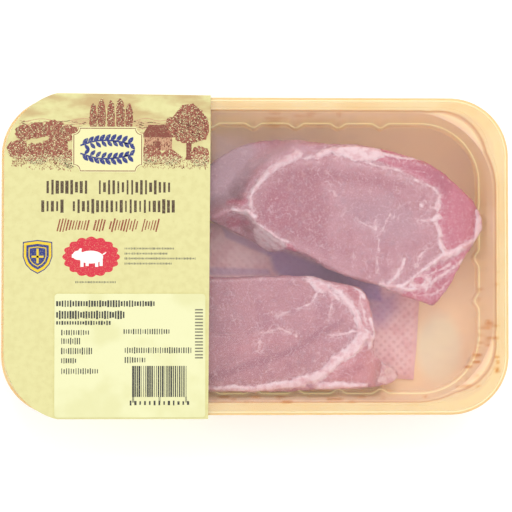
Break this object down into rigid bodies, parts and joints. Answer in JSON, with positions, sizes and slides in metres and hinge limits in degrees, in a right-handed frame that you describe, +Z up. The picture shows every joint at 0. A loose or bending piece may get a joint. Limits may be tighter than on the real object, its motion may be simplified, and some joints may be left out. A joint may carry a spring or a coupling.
{
  "type": "meat tray pack",
  "caption": "Sealed rectangular meat tray with a clear lid film over raw pork chops on a soaker pad, held by a card sleeve with a price label.",
  "frame": {"origin": "under the middle of the tray, on the surface that the pack stands on", "axes": "+X along the tray's length, away from the sleeved end; +Y across the tray; +Z up through the lid film"},
  "size_m": [0.23, 0.1472, 0.0419],
  "materials": {
    "tray_plastic": "thermoformed cream polypropylene, satin gloss",
    "pad": "embossed absorbent pad soaked pink",
    "pork": "raw pork, moist, with pale fat",
    "film": "clear lid film, glossy",
    "sleeve_card": "printed pale yellow card, semi-matt",
    "label_paper": "pale yellow label paper, smooth"
  },
  "bodies": {
    "root": {"tray": "tray_plastic", "soaker_pad": "pad", "chop_upper": "pork", "chop_lower": "pork", "lid_film": "film", "card_sleeve": "sleeve_card", "price_label": "label_paper"}
  },
  "joints": []
}
